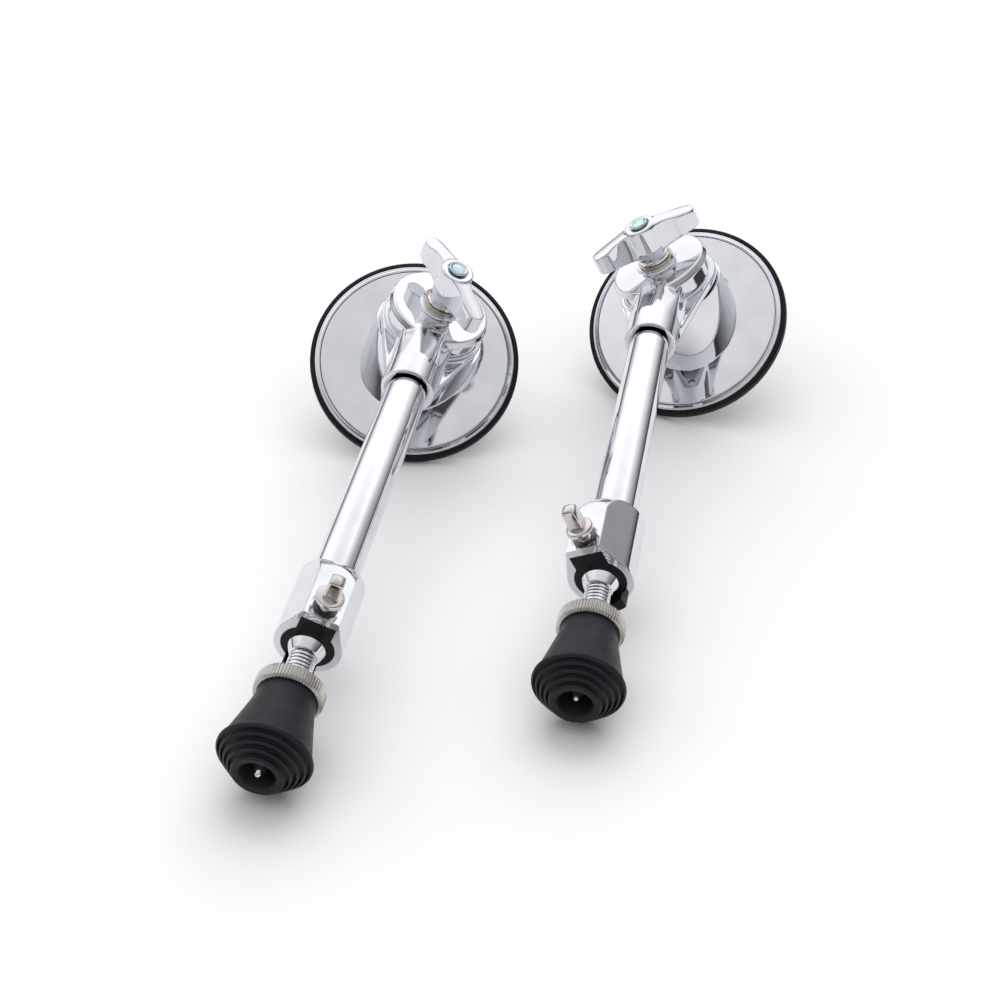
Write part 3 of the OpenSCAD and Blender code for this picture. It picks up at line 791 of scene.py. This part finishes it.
def makeLockNut():
    n = lockNut
    high = n["low"] + n["thick"]
    piece = turnedPiece("lockNut", [
        (n["bore"], n["low"] + 1, 0), (n["recess"], n["low"] + 1, 0), (n["recess"], n["low"], 0.2),
        (n["outer"] - n["edge"], n["low"], 0.2), (n["outer"], n["low"] + n["edge"], 0.15),
        (n["outer"], high - n["edge"], 0.15), (n["outer"] - n["edge"] - 0.3, high, 0.3),
        (n["bore"] + 0.6, high, 0), (n["bore"], high - 0.6, 0), (n["bore"], n["low"] + 1, 0)],
        4 * n["ridges"], 2)
    editing(piece)
    step = 360 / n["ridges"]

    def inGroove(co):
        turn = (degrees(atan2(co.y, co.x)) + 360 + step / 8) % step
        return co.xy.length > n["outer"] - 0.35 and turn < step * 0.5

    selectVerts(piece, inGroove)
    bpy.ops.transform.resize(value=(n["groove"], n["groove"], 1), center_override=(0, 0, 0))
    cleanMesh()
    doneEditing()
    onBothSpurs(piece, "foot", "LockNut", "lock", ["lock_nut"], "nickel", 25)


makers = (
    makeDisc, makeTurret, makeGasket, makeBolt, makeKnuckle, makeWingNut, makeTube, makeCollar, makeKeyScrew,
    makeRod, makeStud, makeFoot, makeLockNut)
for make in makers:
    make()

# these frame pieces keep their own shape and only take a finish
keptFinish = {
    "friction_disc": "blackNylon",
    "brass_washer": "brass",
    "roll_pin": "blackSteel",
    "tube_screw": "blackSteel",
    "bushing": "blackNylon",
    "screw_washer": "blackSteel",
    "rod_guide": "whiteNylon",
    "foot_insert": "nickel",
}

for side in sides:
    for node, finish in keptFinish.items():
        part = frame["nodes"][side + "_" + node]
        part.data.materials.clear()
        part.data.materials.append(finishes[finish])
print("kept pieces finished")

table = {
    "size": 8.0,
    "height": -0.0003,
    "grain": 3,
    "dark": (0.93, 0.93, 0.93),
    "light": (0.95, 0.95, 0.95),
    "rough": 0.7,
    "specular": 0.2,
}
bpy.ops.mesh.primitive_plane_add(size=table["size"], location=(0, 0, table["height"]))
floor = bpy.context.object
floor.name = "paleFloor"
floorFinish, floorTree, floorShader, floorPlace = shaderFor("paleFloor")
floorNoise = addNoise(floorTree, floorPlace, table["grain"])
addTint(floorTree, floorShader, floorNoise, table["dark"], table["light"])
floorShader.inputs["Roughness"].default_value = table["rough"]
floorShader.inputs["Specular IOR Level"].default_value = table["specular"]
floor.data.materials.append(floorFinish)

studio = {
    "softPower": 0.95,
    "softAngle": 60.0,
    "softFrom": (0.1, 0.7, 0.75),
    # brightness against height, towards the viewer and away from them
    "frontBands": [(0.0, 0.07), (0.1, 0.1), (0.24, 0.3), (0.5, 0.46), (0.86, 0.6), (1.0, 0.68)],
    "backBands": [(0.0, 0.1), (0.07, 0.16), (0.2, 0.55), (0.36, 1.0), (0.7, 1.1), (1.0, 0.75)],
    "frontToBack": (-0.4, 0.4),
    "wander": 0.15,  # how far the line between front and back wanders
    "wanderScale": 1.7,
    "cool": 0.985,  # red and green against blue
    "rightSide": 0.42,  # how dark the low right of the studio is
    "rightFromTo": (-0.05, 0.5),
    "rightLean": -0.8,
    "skyStrength": 1.3,
}

bpy.ops.object.light_add(type="SUN", location=(0, 1, 1))
softLight = bpy.context.object
softLight.name = "softLight"
softLight.data.energy = studio["softPower"]
softLight.data.angle = radians(studio["softAngle"])
softLight.visible_glossy = False
softLight.rotation_euler = (-Vector(studio["softFrom"])).to_track_quat("-Z", "Y").to_euler()

world = bpy.data.worlds.new("studioTent")
bpy.context.scene.world = world
world.use_nodes = True
sky = world.node_tree
background = sky.nodes["Background"]
background.inputs["Strength"].default_value = studio["skyStrength"]
around = sky.nodes.new("ShaderNodeTexCoord")
split = sky.nodes.new("ShaderNodeSeparateXYZ")
sky.links.new(around.outputs["Generated"], split.inputs["Vector"])


def skyBands(levels):
    bands = sky.nodes.new("ShaderNodeValToRGB")
    for at, level in levels[1:-1]:
        bands.color_ramp.elements.new(at)
    for element, (at, level) in zip(bands.color_ramp.elements, levels):
        element.color = (level * studio["cool"], level * studio["cool"], level, 1)
    sky.links.new(split.outputs["Z"], bands.inputs["Fac"])
    return bands.outputs["Color"]


unevenness = addNoise(sky, around.outputs["Generated"], studio["wanderScale"], 1)
shift = sky.nodes.new("ShaderNodeMath")
shift.operation = "ADD"
sky.links.new(split.outputs["Y"], shift.inputs[0])
sky.links.new(addRange(sky, unevenness, -studio["wander"], studio["wander"]), shift.inputs[1])
towardsBack = addRange(sky, shift.outputs["Value"], 0.0, 1.0, *studio["frontToBack"])
blend = sky.nodes.new("ShaderNodeMix")
blend.data_type = "RGBA"
sky.links.new(towardsBack, blend.inputs[0])
sky.links.new(skyBands(studio["frontBands"]), blend.inputs[6])
sky.links.new(skyBands(studio["backBands"]), blend.inputs[7])
lowRight = sky.nodes.new("ShaderNodeMath")
lowRight.operation = "MULTIPLY_ADD"
lowRight.inputs[1].default_value = studio["rightLean"]
sky.links.new(split.outputs["Z"], lowRight.inputs[0])
sky.links.new(split.outputs["X"], lowRight.inputs[2])
shade = sky.nodes.new("ShaderNodeVectorMath")
shade.operation = "SCALE"
sky.links.new(blend.outputs[2], shade.inputs["Vector"])
dimming = addRange(sky, lowRight.outputs["Value"], 1.0, studio["rightSide"], *studio["rightFromTo"])
sky.links.new(dimming, shade.inputs["Scale"])
sky.links.new(shade.outputs["Vector"], background.inputs["Color"])

view = {
    "place": (-0.0193, -0.7476, 0.5212),
    "down": 33.78,
    "roll": 0.87,
    "width": 29.44,
}
bpy.ops.object.camera_add(location=view["place"])
camera = bpy.context.object
camera.name = "viewCamera"
camera.data.angle = radians(view["width"])
tip = Matrix.Rotation(radians(90 - view["down"]), 4, "X") @ Matrix.Rotation(radians(view["roll"]), 4, "Z")
camera.matrix_world = Matrix.Translation(view["place"]) @ tip
bpy.context.scene.camera = camera
bpy.context.scene.view_settings.view_transform = "Standard"
print("scene lit")
